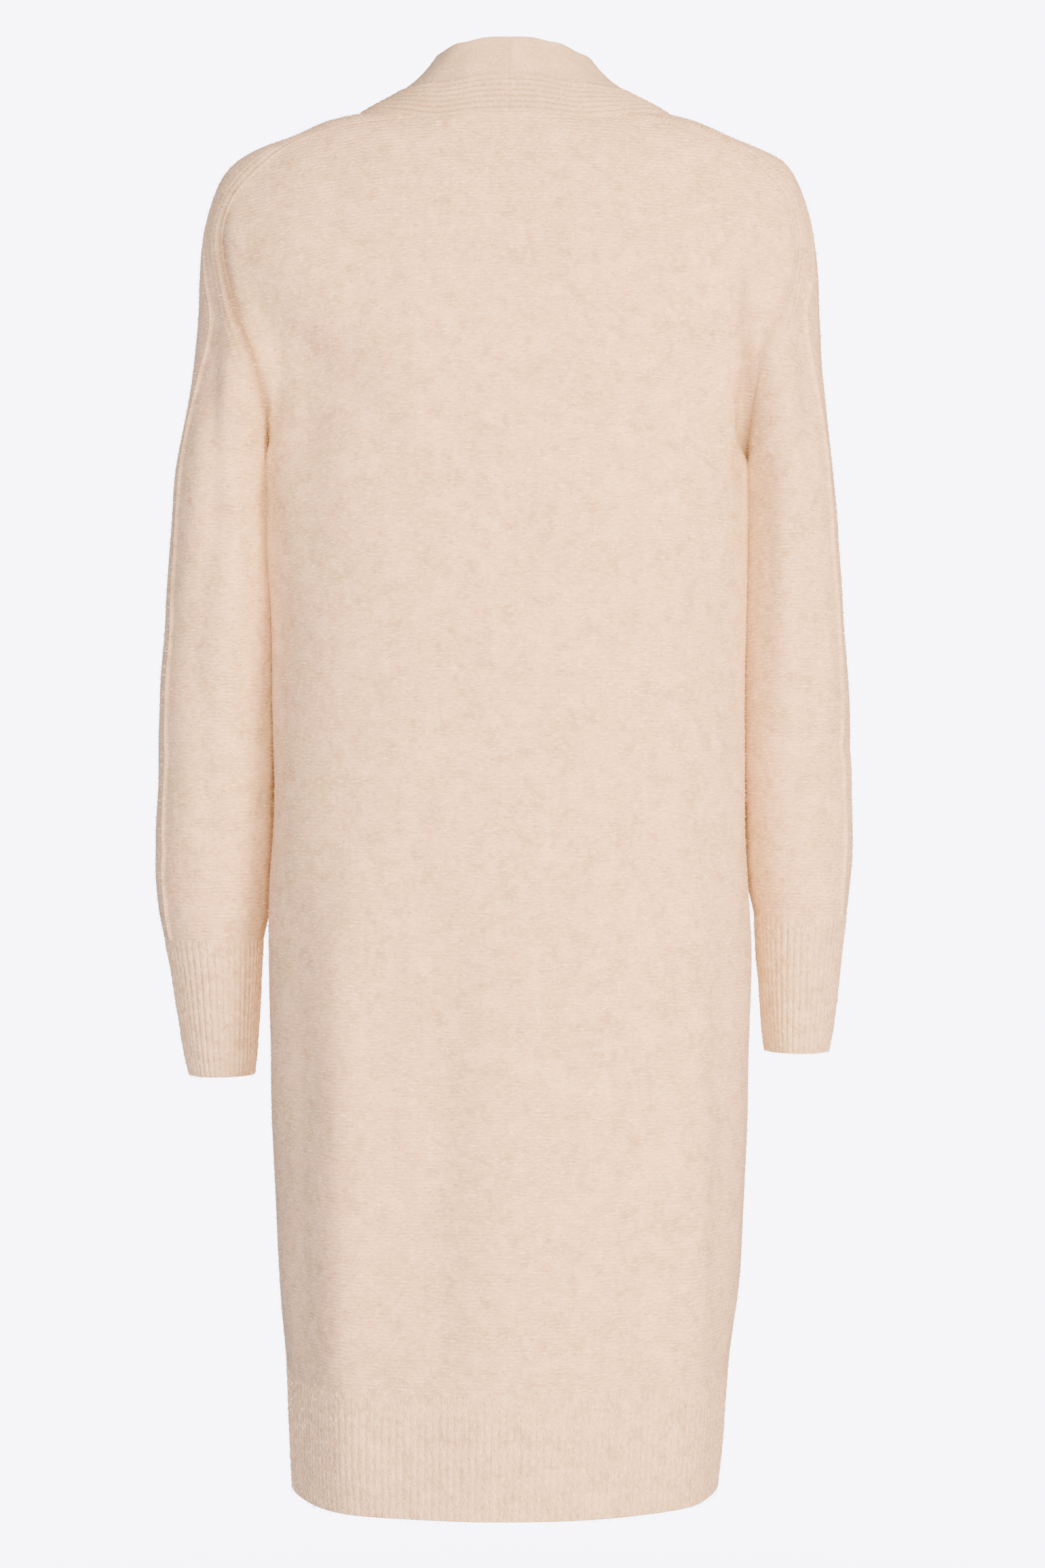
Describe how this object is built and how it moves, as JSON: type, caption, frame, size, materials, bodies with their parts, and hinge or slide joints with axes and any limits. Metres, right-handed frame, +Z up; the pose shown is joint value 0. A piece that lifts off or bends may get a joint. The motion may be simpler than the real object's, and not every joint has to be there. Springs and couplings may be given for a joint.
{
  "type": "duster cardigan",
  "caption": "Long open-front knitted cardigan in its worn shape, with saddle sleeves, ribbed cuffs and hem, and a ribbed band round the fronts and neck.",
  "frame": {"origin": "between the wearer's shoulders, at the height of the neck seam, where the shoulders hold the cardigan up", "axes": "+Z up along the garment's length, +Y out of its back, +X towards the wearer's left"},
  "size_m": [0.5028, 0.2508, 1.0256],
  "materials": {
    "body_knit": "brushed fine-gauge wool knit, oatmeal melange, soft nap",
    "sleeve_knit": "brushed fine-gauge wool knit, oatmeal melange, soft nap",
    "rib_knit": "ribbed wool knit, lightly brushed",
    "band_knit": "brushed wool knit with ribs along its sewn edge"
  },
  "bodies": {
    "root": {"back_panel": "body_knit", "front_left": "body_knit", "front_right": "body_knit", "sleeve_left": "sleeve_knit", "sleeve_right": "sleeve_knit", "cuff_left": "rib_knit", "cuff_right": "rib_knit", "hem_rib_back": "rib_knit", "hem_rib_front_left": "rib_knit", "hem_rib_front_right": "rib_knit", "band_left": "band_knit", "band_right": "band_knit"}
  },
  "joints": []
}
